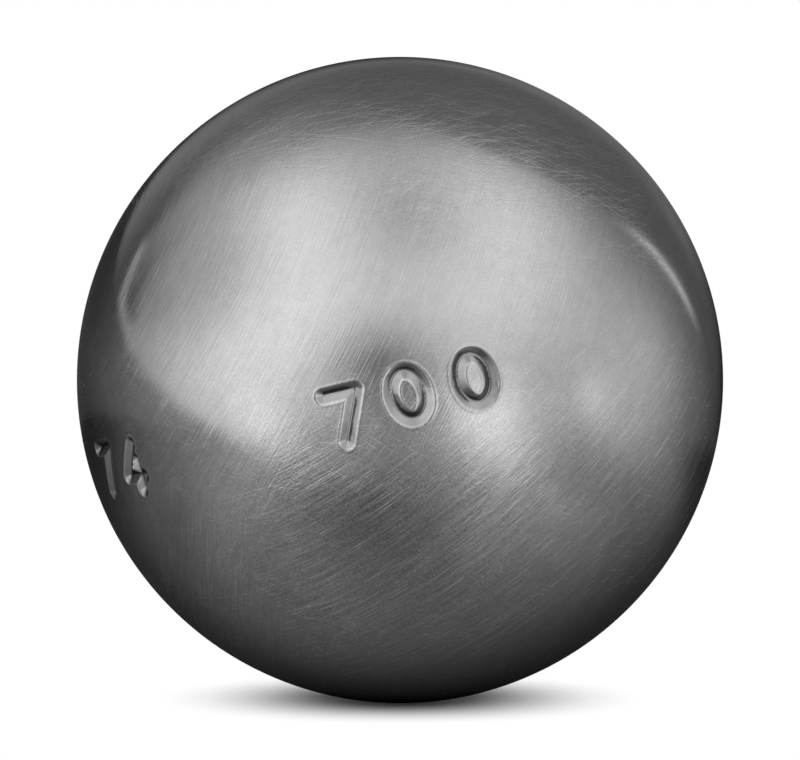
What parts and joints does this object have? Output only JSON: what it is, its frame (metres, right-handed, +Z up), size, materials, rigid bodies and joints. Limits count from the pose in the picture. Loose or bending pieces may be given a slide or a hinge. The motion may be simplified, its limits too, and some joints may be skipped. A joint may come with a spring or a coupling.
{
  "type": "petanque boule",
  "caption": "Hollow steel petanque boule: half shells welded rim to rim, turned to a smooth sphere and cross-brushed; thrown or rolled by hand towards a small target ball.",
  "frame": {"origin": "centre of the ball", "axes": "+Z up; +Y along the weld's axis from the front half shell to the rear one; the weld plane is XZ"},
  "size_m": [0.074, 0.074, 0.074],
  "materials": {
    "shell_steel": "satin carbon steel, brushed in crossing arcs, with fine handling scratches",
    "weld_steel": "weld metal turned flush and brushed with the shells outside, as welded inside"
  },
  "bodies": {
    "root": {"front_half_shell": "shell_steel", "rear_half_shell": "shell_steel", "weld_seam": "weld_steel"}
  },
  "joints": []
}
